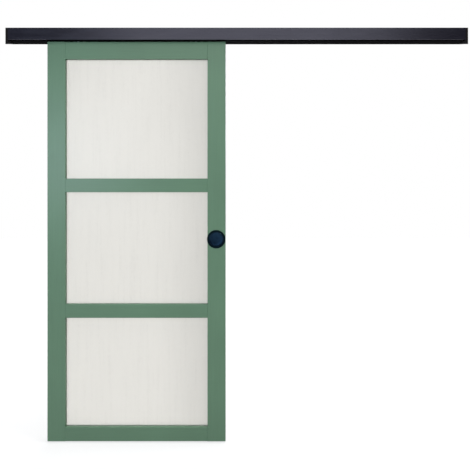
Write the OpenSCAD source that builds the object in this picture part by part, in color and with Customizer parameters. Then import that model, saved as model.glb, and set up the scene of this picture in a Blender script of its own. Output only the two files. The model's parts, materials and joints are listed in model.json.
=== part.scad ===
// Top-hung glass sliding door: a glazed timber leaf on a wall rail with a cover valance.
// X runs along the rail, Y from the room towards the wall, Z up, all in millimetres.
// The origin is the middle of the row of wall holes, on the wall face.
// The leaf stands open, with its left carriage against the left stop.

/* [Door leaf] */
// Width of the leaf
door_w = 910; // [780:10:1000]
// Height of the leaf
door_h = 2040; // [1900:10:2300]
// Thickness of the leaf
door_t = 40; // [37:1:50]
// Width of each upright stile
stile_w = 92; // [88:1:130]
// Height of the top rail
top_rail_h = 88; // [76:1:140]
// Height of the bottom rail
bottom_rail_h = 72; // [64:1:140]
// Height of each crossbar
crossbar_h = 70; // [60:1:100]
// Underside of the lower crossbar above the foot of the leaf
lower_bar_z = 630; // [400:5:850]
// Underside of the upper crossbar above the foot of the leaf
upper_bar_z = 1272; // [1150:5:1500]
// Chamfer along the long edges of the frame pieces
edge_chamfer = 1.2; // [0.5:0.1:3]
// Diameter of the frame dowels
dowel_d = 10; // [6:0.5:12]
// Length of the frame dowels
dowel_l = 80; // [50:2:90]
// Distance between the two dowels of a joint
dowel_pitch = 24; // [18:1:26]

/* [Glazing] */
// Thickness of each pane
glass_t = 4; // [3:0.5:6]
// Thickness of the frame lip in front of the panes
glass_lip_t = 16; // [16:0.5:24]
// Width of the rebate around each opening
rebate_w = 10; // [7:0.5:12]
// Gap between the edge of a pane and its rebate
glass_play = 2; // [1:0.5:3]
// Thickness of the glazing tape
tape_t = 1; // [0.5:0.25:2]
// Distance of the tape behind the edge of the opening
tape_inset = 1; // [0.5:0.5:3]
// Distance of the beads below the rear face of the leaf
bead_setback = 0.5; // [0:0.25:2]
// Width of each bead's rear face, from which its inner face is splayed to the glass
bead_face = 2; // [1:0.5:5]

/* [Pulls] */
// Diameter of the front pull
front_pull_d = 94; // [70:1:96]
// Diameter of the rear pull
rear_pull_d = 72; // [60:1:76]
// Height of both pulls above the foot of the leaf
pull_z = 1032; // [950:2:1080]
// Distance from the front pull to the edge of the leaf
pull_edge_gap = 0.5; // [0.5:0.5:6]
// Width of the flat ring around each dish
pull_ring_w = 8.5; // [6:0.5:12]
// Height of the ring above the face of the leaf
pull_ring_h = 3; // [2:0.5:5]
// Depth of the dish below the face of the leaf
pull_dish_depth = 8; // [5:0.5:10]
// Wall of the pull's cup
pull_wall = 2; // [1.5:0.5:3]

/* [Rail] */
// Length of the rail over its end caps
rail_l = 2330; // [2200:10:3000]
// Distance from the left end of the rail to the open leaf
open_margin = 198; // [100:2:230]
// Thickness of the wall flange
flange_t = 3; // [2:0.5:5]
// Height of the flange above the row of wall holes
flange_above = 7; // [6:0.5:14]
// Drop from the row of wall holes to the top of the channel
hole_to_channel = 10; // [8:0.5:25]
// Drop of the flange below the channel
flange_below = 2; // [0:0.5:4]
// Outer width of the roller channel
channel_w = 34; // [32:0.5:42]
// Inner height of the roller channel
channel_h = 29; // [28:0.5:40]
// Wall of the channel's sides
channel_wall = 2.5; // [2:0.25:4]
// Thickness of the channel's top and of its running lips
channel_plate_t = 3; // [2:0.25:5]
// Width of the slot under the channel
slot_w = 11; // [10:0.5:13]
// Diameter of the wall holes
wall_hole_d = 6.5; // [4.5:0.25:8]
// Distance between neighbouring wall holes
wall_hole_pitch = 440; // [300:5:440]
// Number of wall holes in the row
wall_hole_count = 6; // [2:2:6]

/* [Valance] */
// Height of the valance's face
valance_h = 60; // [56:1:90]
// Wall of the valance
valance_t = 2; // [1.5:0.25:3]
// Distance of the valance's face in front of the leaf
valance_reach = 32; // [26:1:60]
// Gap between the top of the wall flange and the valance
valance_gap = 1; // [0.5:0.25:2]
// Length of each end cap along the rail
cap_l = 12; // [8:1:30]
// Wall of the end caps
cap_wall = 3; // [2:0.25:4]
// Drop of the end caps' front edge below the valance; their lower edge rises to the wall flange
cap_drop = 22; // [0:1:40]
// Length of the plug on each end cap inside the channel
cap_plug_l = 15; // [8:1:30]
// Number of valance clips
clip_count = 5; // [3:1:9]
// Width of each clip along the rail
clip_w = 24; // [16:1:40]
// Wall of the clips
clip_t = 3.5; // [2.5:0.25:4]
// Distance from the end of the profile to the first clip
clip_inset = 120; // [40:5:150]

/* [Hanging gear] */
// Gap between the top of the leaf and the channel
hang_gap = 6; // [6:0.5:15]
// Gap between the leaf and the wall
wall_gap = 13; // [12:0.5:25]
// Diameter of the carriage wheels
wheel_d = 22; // [20:0.5:26]
// Diameter of the carriage axles
axle_d = 6; // [4:0.5:7]
// Outer diameter of the wheel bearings
bearing_d = 14; // [11:0.5:17]
// Width of the wheel bearings
bearing_w = 5; // [3:0.5:6]
// Distance between the two axles of a carriage
axle_pitch = 52; // [40:1:70]
// Length of each carriage body
carriage_l = 80; // [76:1:110]
// Height of each carriage body
carriage_h = 16; // [14:0.5:18]
// Diameter of the hanger bolts
bolt_d = 8; // [6:0.5:8]
// Distance across the flats of the bolt heads and lock nuts
hex_flats = 13; // [12:0.5:14]
// Height of the bolt heads
bolt_head_h = 5.3; // [4:0.1:7]
// Height of the lock nuts
lock_nut_h = 5; // [3:0.5:5]
// Length of the hanger plates
plate_l = 100; // [90:1:118]
// Width of the hanger plates
plate_w = 26; // [20:1:30]
// Thickness of the hanger plates
plate_t = 3; // [2.5:0.25:5]
// Distance from a stile to the middle of the hanger plate
hanger_from_stile = 60; // [60:2:150]
// Shank diameter of the plate screws
screw_d = 4.2; // [3.5:0.1:5]
// Length of the plate screws
screw_l = 30; // [20:1:40]

/* [Stops and floor guide] */
// Length of each stop block
stop_l = 45; // [30:1:60]
// Height of each stop block
stop_h = 20; // [18:0.5:24]
// Diameter of the buffers' heads
buffer_d = 12; // [8:0.5:14]
// Length of the buffers' heads
buffer_l = 8; // [4:0.5:15]
// Diameter of the set screws
set_screw_d = 6; // [4:0.5:8]
// Gap between the leaf and the floor
floor_gap = 8; // [6:0.5:20]
// Width of the groove under the leaf
groove_w = 10; // [9:0.5:14]
// Depth of the groove under the leaf
groove_d = 18; // [15:0.5:20]
// Wall of the guide channel
guide_wall = 1.2; // [0.8:0.1:1.6]
// Length of the floor guide along the rail
guide_l = 40; // [30:1:60]
// Depth of the floor guide's base, which reaches back from its blade towards the wall
guide_base_w = 30; // [26:1:30]
// Thickness of the floor guide's base
guide_base_t = 3; // [2:0.25:4]
// Height of the guide's blade inside the groove
blade_engage = 12; // [8:0.5:12]
// Diameter of the floor guide's screw holes
guide_hole_d = 4.5; // [3.5:0.25:5.5]

/* [Clearances] */
// Clearance of pieces that are fitted together
fit_play = 0.1; // [0.05:0.05:0.2]
// Radial clearance of a wheel bearing on its axle
axle_play = 0.05; // [0.02:0.01:0.1]
// Gap under the wheels, and between a buffer and its carriage
roll_gap = 0.1; // [0.1:0.05:0.3]
// Gap beside moving pieces
run_gap = 0.5; // [0.3:0.1:0.6]
// Distance from the floor guide to the edge of the leaf at each end of the travel
guide_margin = 10; // [5:1:30]

/* [Hidden] */
$fn = 64;
// Cut tools reach past the face that they open
cut = 1;
paint_green = [0.40, 0.52, 0.43];
black_metal = [0.13, 0.13, 0.15];
black_plastic = [0.08, 0.08, 0.09];
frosted = [0.90, 0.90, 0.88];
bright_steel = [0.72, 0.73, 0.75];
pale_nylon = [0.88, 0.88, 0.86];
raw_beech = [0.80, 0.64, 0.44];
dark_rubber = [0.12, 0.12, 0.12];
tape_grey = [0.62, 0.63, 0.62];
pull_black = [0.06, 0.09, 0.12];

// Levels of the rail, from the row of wall holes
flange_top = flange_above;
channel_top = -hole_to_channel;
roof_z = channel_top - channel_plate_t;
tread_z = roof_z - channel_h;
channel_foot = tread_z - channel_plate_t;
flange_foot = channel_foot - flange_below;
valance_soffit = flange_top + valance_gap;
valance_top = valance_soffit + valance_t;
valance_foot = valance_top - valance_h;

// Levels of the leaf
door_top = channel_foot - hang_gap;
door_foot = door_top - door_h;
floor_z = door_foot - floor_gap;

// Depths, from the wall towards the room
door_back = -wall_gap;
door_front = door_back - door_t;
mid_y = (door_back + door_front) / 2;
channel_in = channel_w - 2 * channel_wall;
channel_front = mid_y - channel_w / 2;
channel_rear = mid_y + channel_w / 2;
valance_front = door_front - valance_reach;
rebate_y = door_front + glass_lip_t;
glass_front = rebate_y + tape_t;
glass_rear = glass_front + glass_t;
bead_rear = door_back - bead_setback;
bead_edge = 2;

// Places along the rail
profile_l = rail_l - 2 * cap_l;
track_l = rail_l - 2 * (cap_wall + fit_play);
door_left = -rail_l / 2 + open_margin;
door_right = door_left + door_w;
travel = door_w - guide_l - 2 * guide_margin;
hangers = [door_left + stile_w + hanger_from_stile, door_right - stile_w - hanger_from_stile];
left_stop_x = hangers[0] - carriage_l / 2 - roll_gap;
right_stop_x = hangers[1] + travel + carriage_l / 2 + roll_gap;
guide_x = (door_left + travel + door_right) / 2;
clip_pitch = (profile_l - 2 * clip_inset) / (clip_count - 1);
clips = [for (i = [0:clip_count - 1]) -profile_l / 2 + clip_inset + i * clip_pitch];

// Openings of the frame, each as [foot, height] above the foot of the leaf, from the lowest up
opening_x = door_left + stile_w;
opening_w = door_w - 2 * stile_w;
top_rail_z = door_h - top_rail_h;
openings = [
    [bottom_rail_h, lower_bar_z - bottom_rail_h],
    [lower_bar_z + crossbar_h, upper_bar_z - lower_bar_z - crossbar_h],
    [upper_bar_z + crossbar_h, top_rail_z - upper_bar_z - crossbar_h]
];

// Middle of each dowel joint above the foot of the leaf, between the cuts of its member
joint_heights = [
    (groove_d + bottom_rail_h - rebate_w) / 2,
    lower_bar_z + crossbar_h / 2,
    upper_bar_z + crossbar_h / 2,
    top_rail_z + (rebate_w + top_rail_h - screw_l) / 2
];
dowel_end_gap = 1;

// Wheels stand in the middle of the running lips
lip_w = (channel_in - slot_w) / 2;
wheel_side_gap = 1;
wheel_w = lip_w - 2 * wheel_side_gap;
wheel_y = (slot_w + lip_w) / 2;
wheel_chamfer = 0.8;
axle_z = tread_z + roll_gap + wheel_d / 2;
axle_l = channel_in - 2 * run_gap;
collar_t = 1.2;
collar_d = bearing_d - 3;
carriage_w = 2 * (wheel_y - wheel_w / 2 - run_gap - collar_t);
carriage_chamfer = 4;

// Hanger bolts, their pockets and the screws of the plates
bolt_top = axle_z + carriage_h / 2 - 1;
bolt_head_top = door_top - plate_t;
hex_d = hex_flats / cos(30);
entry_d = hex_d + 1;
entry_x = hex_d + 3;
head_pocket_w = entry_d + 2;
head_pocket_depth = bolt_head_h + 3;
plate_screw_x = plate_l / 2 - 10;
screw_head_d = 2 * screw_d;
screw_head_h = (screw_head_d - screw_d) / 2;

// Clips hook behind a rib under the valance's top
rib_t = 2;
rib_y = channel_front - 12;
rib_foot = valance_soffit - 9;
clip_tail_y = mid_y + 5;
clip_screw_y = mid_y - 4;
clip_screw_d = 4;
clip_screw_head_d = 7.5;
clip_screw_head_h = 2.4;

// Dish of a pull: a superellipse of revolution
dish_power = 2.4;
dish_steps = 12;
pull_round = 1.5;
pull_floor_t = 2.5;

// Small shapes of the floor guide and the stops
guide_hole_x = guide_l / 4 + 2;
guide_toe = 2;
stem_d = buffer_d / 2;
stem_l = 8;
set_screw_foot = tread_z + 5;
guide_end_gap = 1;

// Extrudes a section drawn in Y and Z along X
module along_x(start, length) {
    translate([start, 0, 0]) rotate([90, 0, 90]) linear_extrude(height = length) children();
}

// A block between two opposite corners
module block(low, high) {
    translate(low) cube(high - low);
}

// A rectangle between two opposite corners
module rectangle(low, high) {
    translate(low) square(high - low);
}

// A rectangle between two opposite corners, with all four corners cut by a chamfer
module eased_rectangle(low, high, chamfer) {
    polygon([
        [low[0] + chamfer, low[1]], [high[0] - chamfer, low[1]],
        [high[0], low[1] + chamfer], [high[0], high[1] - chamfer],
        [high[0] - chamfer, high[1]], [low[0] + chamfer, high[1]],
        [low[0], high[1] - chamfer], [low[0], low[1] + chamfer]
    ]);
}

// A round bar along Y, centred on a point
module bar_y(centre, d, length) {
    translate(centre) rotate([90, 0, 0]) cylinder(d = d, h = length, center = true);
}

// A round bar along X from a starting point
module bar_x(start, d, length) {
    translate(start) rotate([0, 90, 0]) cylinder(d = d, h = length);
}

// Rail

module channel_section() {
    half_in = channel_in / 2;
    half_slot = slot_w / 2;
    rectangle([-flange_t, flange_foot], [0, flange_top]);
    rectangle([channel_front, roof_z], [0, channel_top]);
    rectangle([channel_front, channel_foot], [mid_y - half_in, roof_z]);
    rectangle([mid_y + half_in, channel_foot], [channel_rear, roof_z]);
    rectangle([channel_front, channel_foot], [mid_y - half_slot, tread_z]);
    rectangle([mid_y + half_slot, channel_foot], [channel_rear, tread_z]);
}

module track_rail() {
    color(black_metal) difference() {
        along_x(-track_l / 2, track_l) channel_section();
        for (i = [0:wall_hole_count - 1])
            bar_y([(i - (wall_hole_count - 1) / 2) * wall_hole_pitch, -flange_t / 2, 0],
                wall_hole_d, flange_t + 2 * cut);
        for (x = clips)
            translate([x, clip_screw_y, roof_z - cut])
                cylinder(d = clip_screw_d + 2 * fit_play, h = channel_plate_t + 2 * cut);
    }
}

module valance() {
    color(black_metal) along_x(-profile_l / 2, profile_l) union() {
        rectangle([valance_front, valance_foot], [valance_front + valance_t, valance_top]);
        rectangle([valance_front, valance_soffit], [-fit_play, valance_top]);
        rectangle([rib_y - rib_t, rib_foot], [rib_y, valance_soffit]);
    }
}

// An end cap for the left end; the right end is its mirror image
module end_cap() {
    outer = -rail_l / 2;
    inner = outer + cap_l;
    plug_half = channel_in / 2 - fit_play;
    plug_low = tread_z + fit_play;
    plug_high = roof_z - fit_play;
    color(black_plastic) difference() {
        union() {
            along_x(outer, cap_wall) polygon([
                [valance_front, valance_foot - cap_drop], [0, flange_foot],
                [0, valance_top], [valance_front, valance_top]
            ]);
            block([outer, valance_front, valance_foot - cap_drop],
                [inner, valance_front + cap_wall, valance_top]);
            block([outer, valance_front, valance_soffit], [inner, 0, valance_top]);
            block([outer, mid_y - plug_half, plug_low], [inner + cap_plug_l, mid_y + plug_half, plug_high]);
        }
        block([outer + cap_wall, mid_y - plug_half + cap_wall, plug_low + cap_wall],
            [inner + cap_plug_l + cut, mid_y + plug_half - cap_wall, plug_high - cap_wall]);
    }
}

module left_end_cap() {
    end_cap();
}

module right_end_cap() {
    mirror([1, 0, 0]) end_cap();
}

module clip_section() {
    post_front = rib_y + fit_play;
    hook_rear = rib_y - rib_t - fit_play;
    hook_front = hook_rear - clip_t + 1;
    floor_top = channel_top + clip_t;
    rectangle([hook_front, channel_top], [clip_tail_y, floor_top]);
    rectangle([post_front, channel_top], [post_front + clip_t, valance_soffit]);
    rectangle([hook_front, channel_top], [hook_rear, floor_top + 6]);
}

module valance_clips() {
    color(black_plastic) for (x = clips) difference() {
        along_x(x - clip_w / 2, clip_w) clip_section();
        translate([x, clip_screw_y, channel_top - cut])
            cylinder(d = clip_screw_d + 2 * fit_play, h = clip_t + 2 * cut);
    }
}

module clip_screws() {
    seat = channel_top + clip_t;
    color(bright_steel) for (x = clips) translate([x, clip_screw_y, 0]) {
        translate([0, 0, seat]) cylinder(d = clip_screw_head_d, h = clip_screw_head_h);
        translate([0, 0, roof_z]) cylinder(d = clip_screw_d, h = seat - roof_z);
    }
}

// A stop whose buffer face is at x and whose block lies towards side, -1 for left and 1 for right
module stop_block(x, side) {
    half = channel_in / 2 - fit_play;
    near = x + side * buffer_l;
    far = near + side * stop_l;
    color(bright_steel) difference() {
        block([min(near, far), mid_y - half, tread_z], [max(near, far), mid_y + half, tread_z + stop_h]);
        bar_x([min(near, near + side * stem_l) - cut, mid_y, axle_z], stem_d + 2 * fit_play, stem_l + 2 * cut);
        translate([(near + far) / 2, mid_y, tread_z - cut])
            cylinder(d = set_screw_d + 2 * fit_play, h = stop_h + 2 * cut);
    }
}

module left_stop() {
    stop_block(left_stop_x, -1);
}

module right_stop() {
    stop_block(right_stop_x, 1);
}

module stop_buffer(x, side) {
    color(dark_rubber) union() {
        bar_x([min(x, x + side * buffer_l), mid_y, axle_z], buffer_d, buffer_l);
        bar_x([min(x, x + side * (buffer_l + stem_l)), mid_y, axle_z], stem_d, buffer_l + stem_l);
    }
}

module left_stop_buffer() {
    stop_buffer(left_stop_x, -1);
}

module right_stop_buffer() {
    stop_buffer(right_stop_x, 1);
}

module stop_set_screws() {
    reach = buffer_l + stop_l / 2;
    color(bright_steel) for (x = [left_stop_x - reach, right_stop_x + reach])
        translate([x, mid_y, set_screw_foot]) cylinder(d = set_screw_d, h = roof_z - set_screw_foot);
}

module floor_guide() {
    channel_gap = groove_w - 2 * fit_play - 2 * guide_wall;
    blade_t = channel_gap - 2 * run_gap;
    blade_top = door_foot + blade_engage;
    base_front = mid_y - blade_t / 2 - guide_toe;
    base_rear = base_front + guide_base_w;
    hole_y = (mid_y + blade_t / 2 + base_rear) / 2;
    color(pale_nylon) difference() {
        union() {
            translate([guide_x - guide_l / 2, 0, floor_z]) linear_extrude(height = guide_base_t)
                eased_rectangle([0, base_front], [guide_l, base_rear], guide_toe);
            translate([guide_x - guide_l / 2, 0, floor_z]) linear_extrude(height = blade_top - floor_z)
                eased_rectangle([0, mid_y - blade_t / 2], [guide_l, mid_y + blade_t / 2], blade_t / 4);
        }
        for (side = [-1, 1])
            translate([guide_x + side * guide_hole_x, hole_y, floor_z - cut])
                cylinder(d = guide_hole_d, h = guide_base_t + 2 * cut);
    }
}

// Frame of the leaf

// Cuts the rebates of all three panes
module rebates() {
    for (opening = openings)
        block([opening_x - rebate_w, rebate_y, door_foot + opening[0] - rebate_w],
            [opening_x + opening_w + rebate_w, door_back + cut,
                door_foot + opening[0] + opening[1] + rebate_w]);
}

module dowels(d, length) {
    for (x = [opening_x, opening_x + opening_w], z = joint_heights, side = [-1, 1])
        bar_x([x - length / 2, mid_y, door_foot + z + side * dowel_pitch / 2], d, length);
}

module dowel_holes() {
    dowels(dowel_d + 2 * fit_play, dowel_l + 2 * dowel_end_gap);
}

module guide_groove() {
    block([door_left - cut, mid_y - groove_w / 2, door_foot - cut],
        [door_right + cut, mid_y + groove_w / 2, door_foot + groove_d]);
}

module stile(x) {
    difference() {
        translate([0, 0, door_foot]) linear_extrude(height = door_h)
            eased_rectangle([x, door_front], [x + stile_w, door_back], edge_chamfer);
        rebates();
        dowel_holes();
        guide_groove();
    }
}

module cross_member(z, height) {
    difference() {
        along_x(opening_x, opening_w)
            eased_rectangle([door_front, door_foot + z], [door_back, door_foot + z + height], edge_chamfer);
        rebates();
        dowel_holes();
    }
}

module left_stile() {
    color(paint_green) stile(door_left);
}

module right_stile() {
    color(paint_green) difference() {
        stile(door_right - stile_w);
        front_pull_place() pull_bore(front_pull_d);
        rear_pull_place() pull_bore(rear_pull_d);
    }
}

module top_rail() {
    color(paint_green) difference() {
        cross_member(top_rail_z, top_rail_h);
        for (x = hangers) hanger_mortise(x);
        plate_screw_places() plate_screw(fit_play);
    }
}

module bottom_rail() {
    color(paint_green) difference() {
        cross_member(0, bottom_rail_h);
        guide_groove();
    }
}

module upper_crossbar() {
    color(paint_green) cross_member(upper_bar_z, crossbar_h);
}

module lower_crossbar() {
    color(paint_green) cross_member(lower_bar_z, crossbar_h);
}

module frame_dowels() {
    color(raw_beech) dowels(dowel_d, dowel_l);
}

// Glazing, with the opening as [foot, height]

module pane(opening) {
    bite = rebate_w - glass_play;
    color(frosted)
        block([opening_x - bite, glass_front, door_foot + opening[0] - bite],
            [opening_x + opening_w + bite, glass_rear, door_foot + opening[0] + opening[1] + bite]);
}

module pane_tape(opening) {
    bite = rebate_w - glass_play;
    low = door_foot + opening[0];
    high = low + opening[1];
    color(tape_grey) difference() {
        block([opening_x - bite, rebate_y, low - bite],
            [opening_x + opening_w + bite, glass_front, high + bite]);
        block([opening_x - tape_inset, rebate_y - cut, low - tape_inset],
            [opening_x + opening_w + tape_inset, glass_front + cut, high + tape_inset]);
    }
}

// Section of a bead as [across, depth]: its visible edge is at 0 and its back is in the rebate
bead_points = [
    [0, glass_rear], [rebate_w - fit_play, glass_rear], [rebate_w - fit_play, bead_rear],
    [rebate_w - fit_play - bead_face, bead_rear], [0, glass_rear + bead_edge]
];

// Cuts the end of a bead at 45 degrees from a corner [x, z] of the opening, given the way out across the
// bead and the way back past its end
module mitre(corner, across, back) {
    reach = rebate_w + cut;
    translate([0, bead_rear + cut, 0]) rotate([90, 0, 0])
        linear_extrude(height = bead_rear - glass_rear + 2 * cut)
            polygon([corner - cut * (across + back), corner + reach * (across + back),
                corner - cut * across + reach * back]);
}

module level_bead(opening, upper) {
    length = opening_w + 2 * (rebate_w - fit_play);
    edge = door_foot + opening[0] + (upper ? opening[1] : 0);
    outward = upper ? 1 : -1;
    color(paint_green) difference() {
        along_x(opening_x - rebate_w + fit_play, length)
            polygon([for (p = bead_points) [p[1], edge + outward * p[0]]]);
        mitre([opening_x, edge], [0, outward], [-1, 0]);
        mitre([opening_x + opening_w, edge], [0, outward], [1, 0]);
    }
}

module upright_bead(opening, right) {
    edge = opening_x + (right ? opening_w : 0);
    outward = right ? 1 : -1;
    low = door_foot + opening[0] + fit_play;
    high = door_foot + opening[0] + opening[1] - fit_play;
    color(paint_green) difference() {
        translate([0, 0, low - rebate_w + fit_play])
            linear_extrude(height = high - low + 2 * (rebate_w - fit_play))
                polygon([for (p = bead_points) [edge + outward * p[0], p[1]]]);
        mitre([edge, low], [outward, 0], [0, -1]);
        mitre([edge, high], [outward, 0], [0, 1]);
    }
}

// Pulls, drawn with the face of the leaf at Z = 0 and the room along +Z

module front_pull_place() {
    translate([door_right - pull_edge_gap - front_pull_d / 2, door_front, door_foot + pull_z])
        rotate([90, 0, 0]) children();
}

module rear_pull_place() {
    translate([door_right - (stile_w - rebate_w) / 2, door_back, door_foot + pull_z])
        rotate([-90, 0, 0]) children();
}

function pull_cup_r(d) = d / 2 - pull_ring_w;

// Points of the dish from the rim down to the middle of its floor
function dish_points(rim_r) = [
    for (i = [0:dish_steps])
        let (angle = 90 * i / dish_steps)
            [rim_r * pow(cos(angle), 2 / dish_power),
                pull_ring_h - (pull_ring_h + pull_dish_depth) * pow(sin(angle), 2 / dish_power)]
];

// Points of the ring's rounded outer edge, from the face of the leaf to the ring's flat front
function ring_points(ring_r) = [
    for (i = [0:4])
        let (angle = 90 * i / 4)
            [ring_r - pull_round + pull_round * cos(angle), pull_ring_h - pull_round + pull_round * sin(angle)]
];

module pull(d) {
    cup_r = pull_cup_r(d);
    cup_foot = -pull_dish_depth - pull_floor_t;
    color(pull_black) rotate_extrude()
        polygon(concat(
            [[0, cup_foot], [cup_r, cup_foot], [cup_r, 0], [d / 2, 0]],
            ring_points(d / 2),
            dish_points(cup_r - pull_wall)
        ));
}

module pull_bore(d) {
    depth = pull_dish_depth + pull_floor_t + fit_play;
    translate([0, 0, -depth]) cylinder(r = pull_cup_r(d) + fit_play, h = depth + cut);
}

module front_pull() {
    front_pull_place() pull(front_pull_d);
}

module rear_pull() {
    rear_pull_place() pull(rear_pull_d);
}

module guide_channel() {
    half = groove_w / 2 - fit_play;
    roof = door_foot + groove_d - fit_play;
    color(black_plastic) along_x(door_left + guide_end_gap, door_w - 2 * guide_end_gap) difference() {
        rectangle([mid_y - half, door_foot + guide_end_gap], [mid_y + half, roof]);
        rectangle([mid_y - half + guide_wall, door_foot - cut], [mid_y + half - guide_wall, roof - guide_wall]);
    }
}

// Hanging gear

module hanger_mortise(x) {
    pocket_half = head_pocket_w / 2;
    block([x - plate_l / 2 - fit_play, mid_y - plate_w / 2 - fit_play, door_top - plate_t],
        [x + plate_l / 2 + fit_play, mid_y + plate_w / 2 + fit_play, door_top + cut]);
    block([x - pocket_half, mid_y - pocket_half, bolt_head_top - head_pocket_depth],
        [x + entry_x + pocket_half, mid_y + pocket_half, door_top]);
}

module plate_screw_places() {
    for (x = hangers, side = [-1, 1])
        translate([x + side * plate_screw_x, mid_y, door_top]) children();
}

// A countersunk screw with its head at Z = 0, made larger all round by grow
module plate_screw(grow) {
    head_r = screw_head_d / 2 + grow;
    shank_r = screw_d / 2 + grow;
    tip_l = screw_d;
    rotate_extrude() polygon([
        [0, 0], [head_r, 0], [shank_r, -screw_head_h], [shank_r, -screw_l + tip_l],
        [grow, -screw_l - grow], [0, -screw_l - grow]
    ]);
}

module hanger_plate(x) {
    slot = bolt_d + 4 * fit_play;
    color(bright_steel) difference() {
        block([x - plate_l / 2, mid_y - plate_w / 2, door_top - plate_t],
            [x + plate_l / 2, mid_y + plate_w / 2, door_top]);
        translate([x, mid_y, door_top - plate_t - cut]) {
            cylinder(d = slot, h = plate_t + 2 * cut);
            translate([0, -slot / 2, 0]) cube([entry_x, slot, plate_t + 2 * cut]);
            translate([entry_x, 0, 0]) cylinder(d = entry_d, h = plate_t + 2 * cut);
        }
        plate_screw_places() plate_screw(fit_play);
    }
}

module left_hanger_plate() {
    hanger_plate(hangers[0]);
}

module right_hanger_plate() {
    hanger_plate(hangers[1]);
}

module hanger_plate_screws() {
    color(bright_steel) plate_screw_places() plate_screw(0);
}

module hanger_bolt(x) {
    color(bright_steel) translate([x, mid_y, 0]) union() {
        translate([0, 0, bolt_head_top - bolt_head_h]) cylinder(d = hex_d, h = bolt_head_h, $fn = 6);
        translate([0, 0, bolt_head_top - 1]) cylinder(d = bolt_d, h = bolt_top - bolt_head_top + 1);
    }
}

module left_hanger_bolt() {
    hanger_bolt(hangers[0]);
}

module right_hanger_bolt() {
    hanger_bolt(hangers[1]);
}

module hanger_lock_nuts() {
    color(bright_steel) for (x = hangers) translate([x, mid_y, door_top]) difference() {
        cylinder(d = hex_d, h = lock_nut_h, $fn = 6);
        translate([0, 0, -cut]) cylinder(d = bolt_d + 2 * fit_play, h = lock_nut_h + 2 * cut);
    }
}

module carriage(x) {
    low = axle_z - carriage_h / 2;
    color(black_plastic) difference() {
        union() {
            translate([0, mid_y + carriage_w / 2, 0]) rotate([90, 0, 0]) linear_extrude(height = carriage_w)
                eased_rectangle([x - carriage_l / 2, low], [x + carriage_l / 2, low + carriage_h],
                    carriage_chamfer);
            for (side = [-1, 1])
                bar_y([x + side * axle_pitch / 2, mid_y, axle_z], collar_d, carriage_w + 2 * collar_t);
        }
        for (side = [-1, 1])
            bar_y([x + side * axle_pitch / 2, mid_y, axle_z], axle_d + 2 * fit_play,
                carriage_w + 2 * collar_t + 2 * cut);
        translate([x, mid_y, low - cut]) cylinder(d = bolt_d + 2 * fit_play, h = carriage_h + 2 * cut);
    }
}

module left_carriage() {
    carriage(hangers[0]);
}

module right_carriage() {
    carriage(hangers[1]);
}

module carriage_axles() {
    color(bright_steel) for (x = hangers, side = [-1, 1])
        bar_y([x + side * axle_pitch / 2, mid_y, axle_z], axle_d, axle_l);
}

// Wheels of one axle, with index 0 for the left carriage and side -1 for its left axle

module wheel_places(index, side) {
    for (face = [-1, 1])
        translate([hangers[index] + side * axle_pitch / 2, mid_y + face * wheel_y, axle_z])
            rotate([90, 0, 0]) children();
}

module wheels(index, side) {
    half = wheel_w / 2;
    bore_r = bearing_d / 2 + fit_play;
    rim_r = wheel_d / 2;
    color(pale_nylon) wheel_places(index, side) rotate_extrude() polygon([
        [bore_r, -half], [rim_r - wheel_chamfer, -half], [rim_r, -half + wheel_chamfer],
        [rim_r, half - wheel_chamfer], [rim_r - wheel_chamfer, half], [bore_r, half]
    ]);
}

module bearings(index, side) {
    color(bright_steel) wheel_places(index, side) difference() {
        cylinder(d = bearing_d, h = bearing_w, center = true);
        cylinder(d = axle_d + 2 * axle_play, h = bearing_w + 2 * cut, center = true);
    }
}

track_rail();
valance();
left_end_cap();
right_end_cap();
valance_clips();
clip_screws();
left_stop();
right_stop();
left_stop_buffer();
right_stop_buffer();
stop_set_screws();
floor_guide();
left_stile();
right_stile();
top_rail();
bottom_rail();
upper_crossbar();
lower_crossbar();
frame_dowels();
pane(openings[2]);  // top_pane
pane(openings[1]);  // middle_pane
pane(openings[0]);  // bottom_pane
pane_tape(openings[2]);  // top_pane_tape
pane_tape(openings[1]);  // middle_pane_tape
pane_tape(openings[0]);  // bottom_pane_tape
level_bead(openings[2], true);  // top_pane_upper_bead
level_bead(openings[2], false);  // top_pane_lower_bead
upright_bead(openings[2], false);  // top_pane_left_bead
upright_bead(openings[2], true);  // top_pane_right_bead
level_bead(openings[1], true);  // middle_pane_upper_bead
level_bead(openings[1], false);  // middle_pane_lower_bead
upright_bead(openings[1], false);  // middle_pane_left_bead
upright_bead(openings[1], true);  // middle_pane_right_bead
level_bead(openings[0], true);  // bottom_pane_upper_bead
level_bead(openings[0], false);  // bottom_pane_lower_bead
upright_bead(openings[0], false);  // bottom_pane_left_bead
upright_bead(openings[0], true);  // bottom_pane_right_bead
front_pull();
rear_pull();
guide_channel();
left_hanger_plate();
right_hanger_plate();
hanger_plate_screws();
left_hanger_bolt();
right_hanger_bolt();
hanger_lock_nuts();
left_carriage();
right_carriage();
carriage_axles();
wheels(0, -1);  // left_outer_wheels
wheels(0, 1);  // left_inner_wheels
wheels(1, -1);  // right_inner_wheels
wheels(1, 1);  // right_outer_wheels
bearings(0, -1);  // left_outer_bearings
bearings(0, 1);  // left_inner_bearings
bearings(1, -1);  // right_inner_bearings
bearings(1, 1);  // right_outer_bearings
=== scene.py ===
import json
import math

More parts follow.
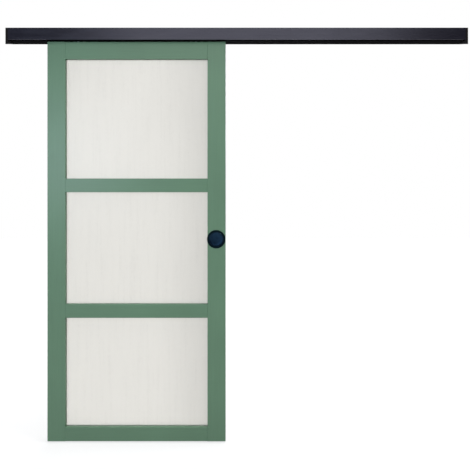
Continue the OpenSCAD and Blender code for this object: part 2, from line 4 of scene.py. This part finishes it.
import bmesh
import bpy
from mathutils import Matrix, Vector


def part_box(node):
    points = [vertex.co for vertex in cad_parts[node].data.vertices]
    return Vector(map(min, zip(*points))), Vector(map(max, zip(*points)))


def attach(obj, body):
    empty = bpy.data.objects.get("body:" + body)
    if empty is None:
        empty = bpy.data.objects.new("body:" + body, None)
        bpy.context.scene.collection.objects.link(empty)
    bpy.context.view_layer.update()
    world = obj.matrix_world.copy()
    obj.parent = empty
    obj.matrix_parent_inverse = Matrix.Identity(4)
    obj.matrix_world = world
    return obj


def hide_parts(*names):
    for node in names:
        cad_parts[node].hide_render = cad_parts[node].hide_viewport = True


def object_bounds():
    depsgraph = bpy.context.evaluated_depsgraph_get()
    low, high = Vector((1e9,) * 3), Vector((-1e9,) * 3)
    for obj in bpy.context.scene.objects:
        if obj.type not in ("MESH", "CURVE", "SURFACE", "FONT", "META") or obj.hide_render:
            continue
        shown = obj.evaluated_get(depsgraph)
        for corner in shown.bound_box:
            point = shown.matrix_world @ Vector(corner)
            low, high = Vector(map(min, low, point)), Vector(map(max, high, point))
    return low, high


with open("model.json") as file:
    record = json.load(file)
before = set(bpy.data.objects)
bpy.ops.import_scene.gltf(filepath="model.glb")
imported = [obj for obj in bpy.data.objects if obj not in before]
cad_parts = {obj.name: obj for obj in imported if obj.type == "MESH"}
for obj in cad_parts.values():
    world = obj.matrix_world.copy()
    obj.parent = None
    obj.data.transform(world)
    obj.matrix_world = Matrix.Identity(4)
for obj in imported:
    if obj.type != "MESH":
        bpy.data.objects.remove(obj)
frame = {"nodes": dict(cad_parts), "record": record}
cad_low, cad_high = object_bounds()

# Sizes in metres, in the part's own frame
MM = 0.001
FLOOR_Z = cad_low.z

# The camera stands level in front of the leaf, and the picture's middle lies below its height
VIEW_WIDTH = 2.4001
VIEW_MIDDLE_X = -0.0087
VIEW_MIDDLE_Z = -1.0375
CAMERA_Y = -2.353
CAMERA_Z = -0.792
SENSOR = 36.0
FAR_CLIP = 100.0

# Round pulls
PULL_RING_W = 8.5 * MM
PULL_RING_H = 3.0 * MM
PULL_RING_ROUND = 1.5 * MM
PULL_WALL = 2.0 * MM
PULL_LIP_ROUND = 0.8 * MM
PULL_DEPTH = 8.0 * MM
PULL_FLOOR = 2.5 * MM
PULL_DISH_POWER = 2.6
PULL_SEGMENTS = 128
DISH_STEPS = 40
EDGE_STEPS = 8
SHARP_ANGLE = math.radians(35.0)

# Nearly all values of a noise lie between these two
NOISE_LOW = 0.3
NOISE_HIGH = 0.7

# A mix node's colour sockets share their names with others, so they are taken by place
MIX_COLOUR_A = 6
MIX_COLOUR_B = 7
MIX_COLOUR_OUT = 2

WHITE = (1.0, 1.0, 1.0)


# Node helpers

def start_material(name):
    """A new material, its node tree, its shader and the object's own coordinates."""
    material = bpy.data.materials.new(name)
    material.use_nodes = True
    tree = material.node_tree
    shader = tree.nodes["Principled BSDF"]
    coords = tree.nodes.new("ShaderNodeTexCoord").outputs["Object"]
    return material, tree, shader, coords


def noise(tree, coords, density, detail=3.0, roughness=0.5):
    """Noise with its own density, in cycles a metre, along each axis."""
    place = tree.nodes.new("ShaderNodeMapping")
    place.inputs["Scale"].default_value = density
    tree.links.new(coords, place.inputs["Vector"])
    texture = tree.nodes.new("ShaderNodeTexNoise")
    texture.inputs["Scale"].default_value = 1.0
    texture.inputs["Detail"].default_value = detail
    texture.inputs["Roughness"].default_value = roughness
    tree.links.new(place.outputs["Vector"], texture.inputs["Vector"])
    return texture.outputs["Fac"]


def even(density):
    """The same noise density along each axis."""
    return (density, density, density)


def along(axis, fine, long):
    """Noise densities of a grain that runs along one axis."""
    return tuple(long if name == axis else fine for name in "xyz")


def shaded(colour, factor):
    return tuple(channel * factor for channel in colour)


def shades(tree, value, *stops):
    """A colour between stops, each a place from 0 to 1 and a colour."""
    ramp = tree.nodes.new("ShaderNodeValToRGB")
    elements = ramp.color_ramp.elements
    while len(elements) < len(stops):
        elements.new(0.5)
    for element, (place, colour) in zip(elements, stops):
        element.position = place
        element.color = (*colour, 1.0)
    tree.links.new(value, ramp.inputs["Fac"])
    return ramp.outputs["Color"]


def varied(tree, value, colour, dark, light, start=NOISE_LOW, end=NOISE_HIGH):
    """One colour that goes from a darker to a lighter shade with a noise."""
    return shades(tree, value, (start, shaded(colour, dark)), (end, shaded(colour, light)))


def spread(tree, value, low, high, start=NOISE_LOW, end=NOISE_HIGH):
    """Maps a value that runs from start to end to the range from low to high."""
    node = tree.nodes.new("ShaderNodeMapRange")
    node.inputs["From Min"].default_value = start
    node.inputs["From Max"].default_value = end
    node.inputs["To Min"].default_value = low
    node.inputs["To Max"].default_value = high
    tree.links.new(value, node.inputs["Value"])
    return node.outputs["Result"]


def combine(tree, first, second, share):
    """A blend of two heights."""
    mix = tree.nodes.new("ShaderNodeMix")
    mix.inputs["Factor"].default_value = share
    tree.links.new(first, mix.inputs["A"])
    tree.links.new(second, mix.inputs["B"])
    return mix.outputs["Result"]


def maths(tree, operation, first, second):
    node = tree.nodes.new("ShaderNodeMath")
    node.operation = operation
    tree.links.new(first, node.inputs[0])
    tree.links.new(second, node.inputs[1])
    return node.outputs["Value"]


def vector_maths(tree, operation, vector, constant):
    node = tree.nodes.new("ShaderNodeVectorMath")
    node.operation = operation
    node.inputs[1].default_value = constant
    tree.links.new(vector, node.inputs[0])
    return node.outputs["Vector"]


def length(tree, vector):
    node = tree.nodes.new("ShaderNodeVectorMath")
    node.operation = "LENGTH"
    tree.links.new(vector, node.inputs[0])
    return node.outputs["Value"]


def bump(tree, shader, height, distance, strength):
    node = tree.nodes.new("ShaderNodeBump")
    node.inputs["Strength"].default_value = strength
    node.inputs["Distance"].default_value = distance
    tree.links.new(height, node.inputs["Height"])
    tree.links.new(node.outputs["Normal"], shader.inputs["Normal"])


def set_surface(tree, shader, tone, roughness):
    tree.links.new(tone, shader.inputs["Base Color"])
    tree.links.new(roughness, shader.inputs["Roughness"])


# Materials

def green_paint(axis):
    """Satin sage green lacquer on wood, with a faint print of the grain below it."""
    material, tree, shader, coords = start_material("green_paint_" + axis)
    green = (0.120, 0.231, 0.142)
    grain_share = 0.45
    cloud = noise(tree, coords, even(3.0), 4.0)
    grain = noise(tree, coords, along(axis, 260.0, 6.0), 5.0, 0.6)
    peel = noise(tree, coords, even(900.0), 2.0)
    tone = varied(tree, combine(tree, cloud, grain, grain_share), green, 0.93, 1.07, 0.34, 0.66)
    set_surface(tree, shader, tone, spread(tree, peel, 0.37, 0.47))
    bump(tree, shader, combine(tree, peel, grain, 0.4), 0.12 * MM, 0.35)
    return material


def frosted_glass():
    """Acid-etched glass with fine upright streaks and flecks, and only a weak sheen."""
    material, tree, shader, coords = start_material("frosted_glass")
    white = (0.921, 0.906, 0.862)
    sheen = 0.28
    streaks = noise(tree, coords, along("z", 62.0, 3.0), 5.0, 0.65)
    flecks = noise(tree, coords, along("z", 130.0, 60.0), 2.0)
    tone = shades(tree, combine(tree, streaks, flecks, 0.3),
                  (0.36, shaded(white, 0.940)), (0.46, shaded(white, 0.983)), (0.58, white))
    set_surface(tree, shader, tone, spread(tree, streaks, 0.32, 0.40))
    shader.inputs["IOR"].default_value = 1.5
    shader.inputs["Transmission Weight"].default_value = 0.80
    shader.inputs["Specular Tint"].default_value = (sheen, sheen, sheen, 1.0)
    bump(tree, shader, combine(tree, streaks, flecks, 0.5), 0.1 * MM, 0.2)
    return material


def black_aluminium():
    """Black anodised extrusion with fine die lines along its length."""
    material, tree, shader, coords = start_material("black_aluminium")
    black = (0.055, 0.055, 0.067)
    lines = noise(tree, coords, along("x", 1500.0, 0.6), 3.0, 0.6)
    cloud = noise(tree, coords, along("x", 40.0, 7.0), 3.0)
    tone = varied(tree, combine(tree, lines, cloud, 0.5), black, 0.86, 1.12)
    set_surface(tree, shader, tone, spread(tree, cloud, 0.30, 0.36))
    shader.inputs["Metallic"].default_value = 1.0
    bump(tree, shader, lines, 0.05 * MM, 0.12)
    return material


def moulded(name, colour, rough, grain, depth, gloss=0.5):
    """Moulded plastic, rubber or matt lacquer with a fine grain."""
    material, tree, shader, coords = start_material(name)
    rough_range = 0.06
    pits = noise(tree, coords, even(grain), 3.0, 0.6)
    cloud = noise(tree, coords, even(25.0), 3.0)
    tone = varied(tree, combine(tree, pits, cloud, 0.6), colour, 0.9, 1.1)
    set_surface(tree, shader, tone, spread(tree, pits, rough - rough_range, rough + rough_range))
    shader.inputs["Specular IOR Level"].default_value = gloss
    bump(tree, shader, pits, depth, 0.4)
    return material


def steel():
    """Bright zinc-plated steel, a little cloudy."""
    material, tree, shader, coords = start_material("steel")
    grey = (0.58, 0.59, 0.60)
    cloud = noise(tree, coords, even(90.0), 4.0)
    scratch = noise(tree, coords, along("x", 1600.0, 60.0), 2.0)
    tone = varied(tree, cloud, grey, 0.86, 1.08)
    set_surface(tree, shader, tone, spread(tree, scratch, 0.24, 0.36))
    shader.inputs["Metallic"].default_value = 1.0
    bump(tree, shader, scratch, 0.03 * MM, 0.2)
    return material


def beech():
    """Plain beech with short dark rays along the dowel."""
    material, tree, shader, coords = start_material("beech")
    dark = (0.40, 0.25, 0.14)
    light = (0.58, 0.40, 0.25)
    grain = noise(tree, coords, along("x", 700.0, 30.0), 4.0, 0.6)
    tone = shades(tree, grain, (NOISE_LOW, dark), (NOISE_HIGH, light))
    set_surface(tree, shader, tone, spread(tree, grain, 0.55, 0.7))
    bump(tree, shader, grain, 0.1 * MM, 0.4)
    return material


def distance_from_axis(tree, coords, centre):
    """How far a point lies from an axis along Y."""
    offset = vector_maths(tree, "SUBTRACT", coords, centre)
    return length(tree, vector_maths(tree, "MULTIPLY", offset, (1.0, 0.0, 1.0)))


def black_pull(name, centre, rim_r):
    """Blue-black lacquered metal with a satin sheen, the ring outside the rim a shade blacker."""
    material, tree, shader, coords = start_material(name)
    navy = (0.0115, 0.029, 0.054)
    black = (0.0055, 0.0145, 0.0190)
    fade = 1.0 * MM
    cloud = noise(tree, coords, even(60.0), 4.0)
    peel = noise(tree, coords, even(1400.0), 2.0)
    radius = distance_from_axis(tree, coords, centre)
    tone = tree.nodes.new("ShaderNodeMix")
    tone.data_type = "RGBA"
    tree.links.new(spread(tree, radius, 0.0, 1.0, rim_r - fade, rim_r + fade), tone.inputs["Factor"])
    tree.links.new(varied(tree, cloud, navy, 0.85, 1.2), tone.inputs[MIX_COLOUR_A])
    tree.links.new(varied(tree, cloud, black, 0.85, 1.2), tone.inputs[MIX_COLOUR_B])
    set_surface(tree, shader, tone.outputs[MIX_COLOUR_OUT], spread(tree, peel, 0.42, 0.50))
    shader.inputs["Metallic"].default_value = 1.0
    bump(tree, shader, peel, 0.04 * MM, 0.25)
    return material


paint = {axis: green_paint(axis) for axis in "xz"}
# The track is darker and less glossy than a real black finish: partly its own black, partly painted
# shade for the strip under the valance
black_and_shade_track = moulded("black_track_painted_shade", (0.003, 0.003, 0.0035), 0.62, 1400.0, 0.04 * MM, 0.01)
matt_cap = moulded("matt_black_cap", (0.014, 0.013, 0.0135), 0.62, 1600.0, 0.05 * MM, 0.03)
materials = {
    "frosted_glass": frosted_glass(),
    "black_aluminium": black_aluminium(),
    "black_plastic": moulded("black_plastic", (0.018, 0.018, 0.021), 0.48, 1800.0, 0.05 * MM),
    "buffer_rubber": moulded("buffer_rubber", (0.022, 0.021, 0.021), 0.75, 900.0, 0.1 * MM),
    "pale_nylon": moulded("pale_nylon", (0.72, 0.71, 0.68), 0.42, 1200.0, 0.04 * MM),
    "glazing_tape": moulded("glazing_tape", (0.46, 0.48, 0.46), 0.8, 700.0, 0.1 * MM),
    "steel": steel(),
    "beech": beech(),
}


# Every solid takes the finish that the record gives it; the caps are matt, and the track is matt and
# darkened with painted shade

def is_upright(node):
    low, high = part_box(node)
    return high.z - low.z > high.x - low.x


def pull_finish(node):
    low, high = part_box(node)
    rim_r = (high.x - low.x) / 2 - PULL_RING_W - PULL_WALL
    return black_pull(node + "_lacquer", (low + high) / 2, rim_r)


def finish_of(node, slot):
    if slot == "black_pull":
        return pull_finish(node)
    if node == "track_rail":
        return black_and_shade_track
    if node.endswith("_end_cap"):
        return matt_cap
    if slot == "green_paint":
        return paint["z" if is_upright(node) else "x"]
    return materials[slot]


def dress(node, slot):
    mesh = frame["nodes"][node].data
    mesh.materials.clear()
    mesh.materials.append(finish_of(node, slot))


for subpart in frame["record"]["subparts"]:
    dress(subpart["node"], subpart["material_slot"])


# Pulls: turned forms with rounded edges, in the places of the solids

def arc(centre_r, centre_h, radius, start, end):
    """Points of a rounded edge: radius from the axis, height above the face of the leaf."""
    points = []
    for step in range(EDGE_STEPS + 1):
        angle = math.radians(start + (end - start) * step / EDGE_STEPS)
        points.append((centre_r + radius * math.cos(angle), centre_h + radius * math.sin(angle)))
    return points


def dish(rim_r, rim_h):
    """From the rim down to the middle of the hollow, rounder than a bowl."""
    power = 2.0 / PULL_DISH_POWER
    points = []
    for step in range(1, DISH_STEPS):
        angle = math.radians(90.0 * step / DISH_STEPS)
        radius = rim_r * math.cos(angle) ** power
        fall = (rim_h + PULL_DEPTH) * math.sin(angle) ** power
        points.append((radius, rim_h - fall))
    points.append((0.0, -PULL_DEPTH))
    return points


def pull_profile(outer_r):
    """From the foot of the cup, round the ring, to the middle of the dish."""
    cup_r = outer_r - PULL_RING_W
    rim_r = cup_r - PULL_WALL
    foot = -PULL_DEPTH - PULL_FLOOR
    rim_h = PULL_RING_H - PULL_LIP_ROUND
    points = [(0.0, foot), (cup_r, foot), (cup_r, 0.0), (outer_r, 0.0)]
    points += arc(outer_r - PULL_RING_ROUND, PULL_RING_H - PULL_RING_ROUND, PULL_RING_ROUND, 0.0, 90.0)
    points += arc(rim_r + PULL_LIP_ROUND, rim_h, PULL_LIP_ROUND, 90.0, 180.0)
    points += dish(rim_r, rim_h)
    return points


def turned_ring(shape, radius, y, centre):
    """The points of one turn, or a single point on the axis."""
    if radius == 0.0:
        return [shape.verts.new((centre.x, y, centre.z))]
    ring = []
    for step in range(PULL_SEGMENTS):
        angle = 2.0 * math.pi * step / PULL_SEGMENTS
        x = centre.x + radius * math.cos(angle)
        z = centre.z + radius * math.sin(angle)
        ring.append(shape.verts.new((x, y, z)))
    return ring


def turned_piece(name, profile, centre, side, finish):
    """Turns a profile about an axis along Y; side says which way its front looks."""
    mesh = bpy.data.meshes.new(name)
    shape = bmesh.new()
    rings = []
    for radius, height in profile:
        rings.append(turned_ring(shape, radius, centre.y + side * height, centre))
    for near, far in zip(rings, rings[1:]):
        for step in range(PULL_SEGMENTS):
            after = (step + 1) % PULL_SEGMENTS
            corners = [near[step % len(near)], near[after % len(near)],
                       far[after % len(far)], far[step % len(far)]]
            shape.faces.new(list(dict.fromkeys(corners)))
    bmesh.ops.recalc_face_normals(shape, faces=shape.faces)
    for face in shape.faces:
        face.smooth = True
    for edge in shape.edges:
        if len(edge.link_faces) == 2 and edge.calc_face_angle() > SHARP_ANGLE:
            edge.smooth = False
    shape.to_mesh(mesh)
    shape.free()
    mesh.materials.append(finish)
    piece = bpy.data.objects.new(name, mesh)
    bpy.context.scene.collection.objects.link(piece)
    return piece


def add_pull(node, face_node, side):
    low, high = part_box(node)
    face_low, face_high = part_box(face_node)
    middle = (low + high) / 2
    middle.y = face_low.y if side < 0 else face_high.y
    finish = frame["nodes"][node].data.materials[0]
    piece = turned_piece(node + "_turned", pull_profile((high.x - low.x) / 2), middle, side, finish)
    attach(piece, "door")
    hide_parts(node)


add_pull("front_pull", "right_stile", -1)
add_pull("rear_pull", "right_stile", 1)


# Floor, backdrop and light

def ray_share(tree, *kinds):
    """One where a ray is of any of these kinds, otherwise nought."""
    path = tree.nodes.new("ShaderNodeLightPath")
    share = path.outputs[kinds[0]]
    for kind in kinds[1:]:
        share = maths(tree, "MAXIMUM", share, path.outputs[kind])
    return share


def add_stage_sheet(name, corners, material):
    """A flat sheet with four corners, for the floor or a card around the object."""
    mesh = bpy.data.meshes.new(name)
    mesh.from_pydata(corners, [], [(0, 1, 2, 3)])
    mesh.materials.append(material)
    sheet = bpy.data.objects.new(name, mesh)
    bpy.context.scene.collection.objects.link(sheet)
    return sheet


def floor_white():
    """White all round; near the part it glows less, so that the shadow shows. It is clear from below."""
    material, tree, shader, coords = start_material("floor_white")
    grey = 0.35
    near, far = 2.2, 4.2
    near_glow, far_glow = 0.68, 0.92
    shader.inputs["Base Color"].default_value = (grey, grey, grey, 1.0)
    shader.inputs["Roughness"].default_value = 0.9
    shader.inputs["Specular IOR Level"].default_value = 0.1
    shader.inputs["Emission Color"].default_value = (*WHITE, 1.0)
    seen = ray_share(tree, "Is Camera Ray", "Is Glossy Ray", "Is Transmission Ray")
    glow = spread(tree, length(tree, coords), near_glow, far_glow, near, far)
    tree.links.new(maths(tree, "MULTIPLY", seen, glow), shader.inputs["Emission Strength"])
    clear = tree.nodes.new("ShaderNodeBsdfTransparent")
    below = tree.nodes.new("ShaderNodeNewGeometry").outputs["Backfacing"]
    sides = tree.nodes.new("ShaderNodeMixShader")
    tree.links.new(below, sides.inputs["Fac"])
    tree.links.new(shader.outputs["BSDF"], sides.inputs[1])
    tree.links.new(clear.outputs["BSDF"], sides.inputs[2])
    tree.links.new(sides.outputs["Shader"], tree.nodes["Material Output"].inputs["Surface"])
    return material


def add_floor():
    half = 9.0
    corners = [(-half, -half, FLOOR_Z), (half, -half, FLOOR_Z),
               (half, half, FLOOR_Z), (-half, half, FLOOR_Z)]
    add_stage_sheet("floor", corners, floor_white())


def painted_pane_shade():
    """A glow that paints shade onto the panes in front of it: dimmer to the right, and a little dimmer
    to the top.
    """
    material, tree, shader, coords = start_material("painted_pane_shade")
    fade_left, fade_right = -0.48, -0.10
    left_level, right_level = 0.93, 0.70
    low_z, high_z = -2.0, -0.3
    low_lift, high_lift = 0.077, -0.072
    shader.inputs["Base Color"].default_value = (0.0, 0.0, 0.0, 1.0)
    shader.inputs["Specular IOR Level"].default_value = 0.0
    shader.inputs["Emission Color"].default_value = (1.0, 0.995, 0.985, 1.0)
    place = tree.nodes.new("ShaderNodeSeparateXYZ")
    tree.links.new(coords, place.inputs["Vector"])
    # Painted shade for the panes: the card's glow falls off to the right and a little towards the top
    across = spread(tree, place.outputs["X"], left_level, right_level, fade_left, fade_right)
    across.node.interpolation_type = "SMOOTHSTEP"
    upward = spread(tree, place.outputs["Z"], low_lift, high_lift, low_z, high_z)
    tree.links.new(maths(tree, "ADD", across, upward), shader.inputs["Emission Strength"])
    return material


def add_shade_card():
    """A graded glowing card behind the leaf, seen only through the panes, where it paints shade on their
    right-hand side and a little at their top.
    """
    left, right, top, y = -1.30, -0.06, 0.3, 0.10
    corners = [(left, y, FLOOR_Z), (right, y, FLOOR_Z), (right, y, top), (left, y, top)]
    card = add_stage_sheet("shade_card", corners, painted_pane_shade())
    card.visible_camera = False
    card.visible_diffuse = False
    card.visible_glossy = False
    card.visible_shadow = False


def backdrop(tree, colour):
    node = tree.nodes.new("ShaderNodeBackground")
    node.inputs["Color"].default_value = (*colour, 1.0)
    return node


def either_backdrop(tree, share, first, second):
    """The second one where share is one, otherwise the first."""
    node = tree.nodes.new("ShaderNodeMixShader")
    tree.links.new(share, node.inputs["Fac"])
    tree.links.new(first, node.inputs[1])
    tree.links.new(second, node.inputs[2])
    return node.outputs["Shader"]


def add_world():
    """White to the camera and through glass, a cool room in gloss, and a plain soft light on the rest.

    The room is dim in front of the part and bright behind it.
    """
    room_colour = (0.68, 0.65, 1.0)
    front_level, rear_level = 0.17, 1.0
    front_way, rear_way = -0.55, 0.1
    world = bpy.data.worlds.new("studio")
    world.use_nodes = True
    bpy.context.scene.world = world
    tree = world.node_tree
    ambient = tree.nodes["Background"]
    ambient.inputs["Color"].default_value = (*WHITE, 1.0)
    ambient.inputs["Strength"].default_value = 0.30
    white = backdrop(tree, WHITE)
    white.inputs["Strength"].default_value = 1.0
    room = backdrop(tree, room_colour)
    way = tree.nodes.new("ShaderNodeSeparateXYZ")
    tree.links.new(tree.nodes.new("ShaderNodeTexCoord").outputs["Generated"], way.inputs["Vector"])
    room_level = spread(tree, way.outputs["Y"], front_level, rear_level, front_way, rear_way)
    tree.links.new(room_level, room.inputs["Strength"])
    in_gloss = ray_share(tree, "Is Glossy Ray")
    seen = ray_share(tree, "Is Camera Ray", "Is Transmission Ray")
    unseen = either_backdrop(tree, in_gloss, ambient.outputs["Background"], room.outputs["Background"])
    surface = either_backdrop(tree, seen, unseen, white.outputs["Background"])
    tree.links.new(surface, tree.nodes["World Output"].inputs["Surface"])


def add_softbox(name, place, target, size, power, in_gloss=True, colour=WHITE):
    """A soft lamp that faces its target; in_gloss says whether gloss shows it."""
    lamp = bpy.data.lights.new(name, "AREA")
    lamp.shape = "RECTANGLE"
    lamp.size, lamp.size_y = size
    lamp.energy = power
    lamp.color = colour
    holder = bpy.data.objects.new(name, lamp)
    holder.location = place
    aim = Vector(target) - Vector(place)
    holder.rotation_euler = aim.to_track_quat("-Z", "Y").to_euler()
    holder.visible_camera = False
    holder.visible_glossy = in_gloss
    holder.visible_transmission = False
    bpy.context.scene.collection.objects.link(holder)


def add_camera():
    camera = bpy.data.cameras.new("camera")
    camera.sensor_width = SENSOR
    camera.lens = SENSOR * (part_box("left_stile")[0].y - CAMERA_Y) / VIEW_WIDTH
    camera.shift_y = (VIEW_MIDDLE_Z - CAMERA_Z) / VIEW_WIDTH
    camera.clip_end = FAR_CLIP
    holder = bpy.data.objects.new("camera", camera)
    holder.location = (VIEW_MIDDLE_X, CAMERA_Y, CAMERA_Z)
    holder.rotation_euler = (math.radians(90.0), 0.0, 0.0)
    bpy.context.scene.collection.objects.link(holder)
    bpy.context.scene.camera = holder


add_floor()
add_shade_card()
add_world()
add_softbox("left_softbox", place=(-1.72, -2.5, -0.5), target=(-0.5, 0.0, -0.8),
            size=(0.5, 0.8), power=22.0, colour=(0.74, 0.86, 1.0))
add_softbox("front_softbox", place=(0.16, -2.9, 0.95), target=(0.16, 0.0, -0.4),
            size=(3.3, 0.7), power=22.0)
add_softbox("front_fill", place=(0.4, -2.8, -0.2), target=(-0.5, 0.0, -0.4),
            size=(2.2, 1.0), power=18.5, in_gloss=False)
add_softbox("top_softbox", place=(1.5, -0.42, 4.0), target=(-0.5, -0.05, -1.6),
            size=(2.0, 0.5), power=200.0, in_gloss=False)
add_softbox("rear_fill", place=(-0.3, 2.8, 0.1), target=(-0.4, 0.0, -0.9),
            size=(2.2, 1.2), power=38.0)
add_camera()
bpy.context.scene.view_settings.view_transform = "Standard"
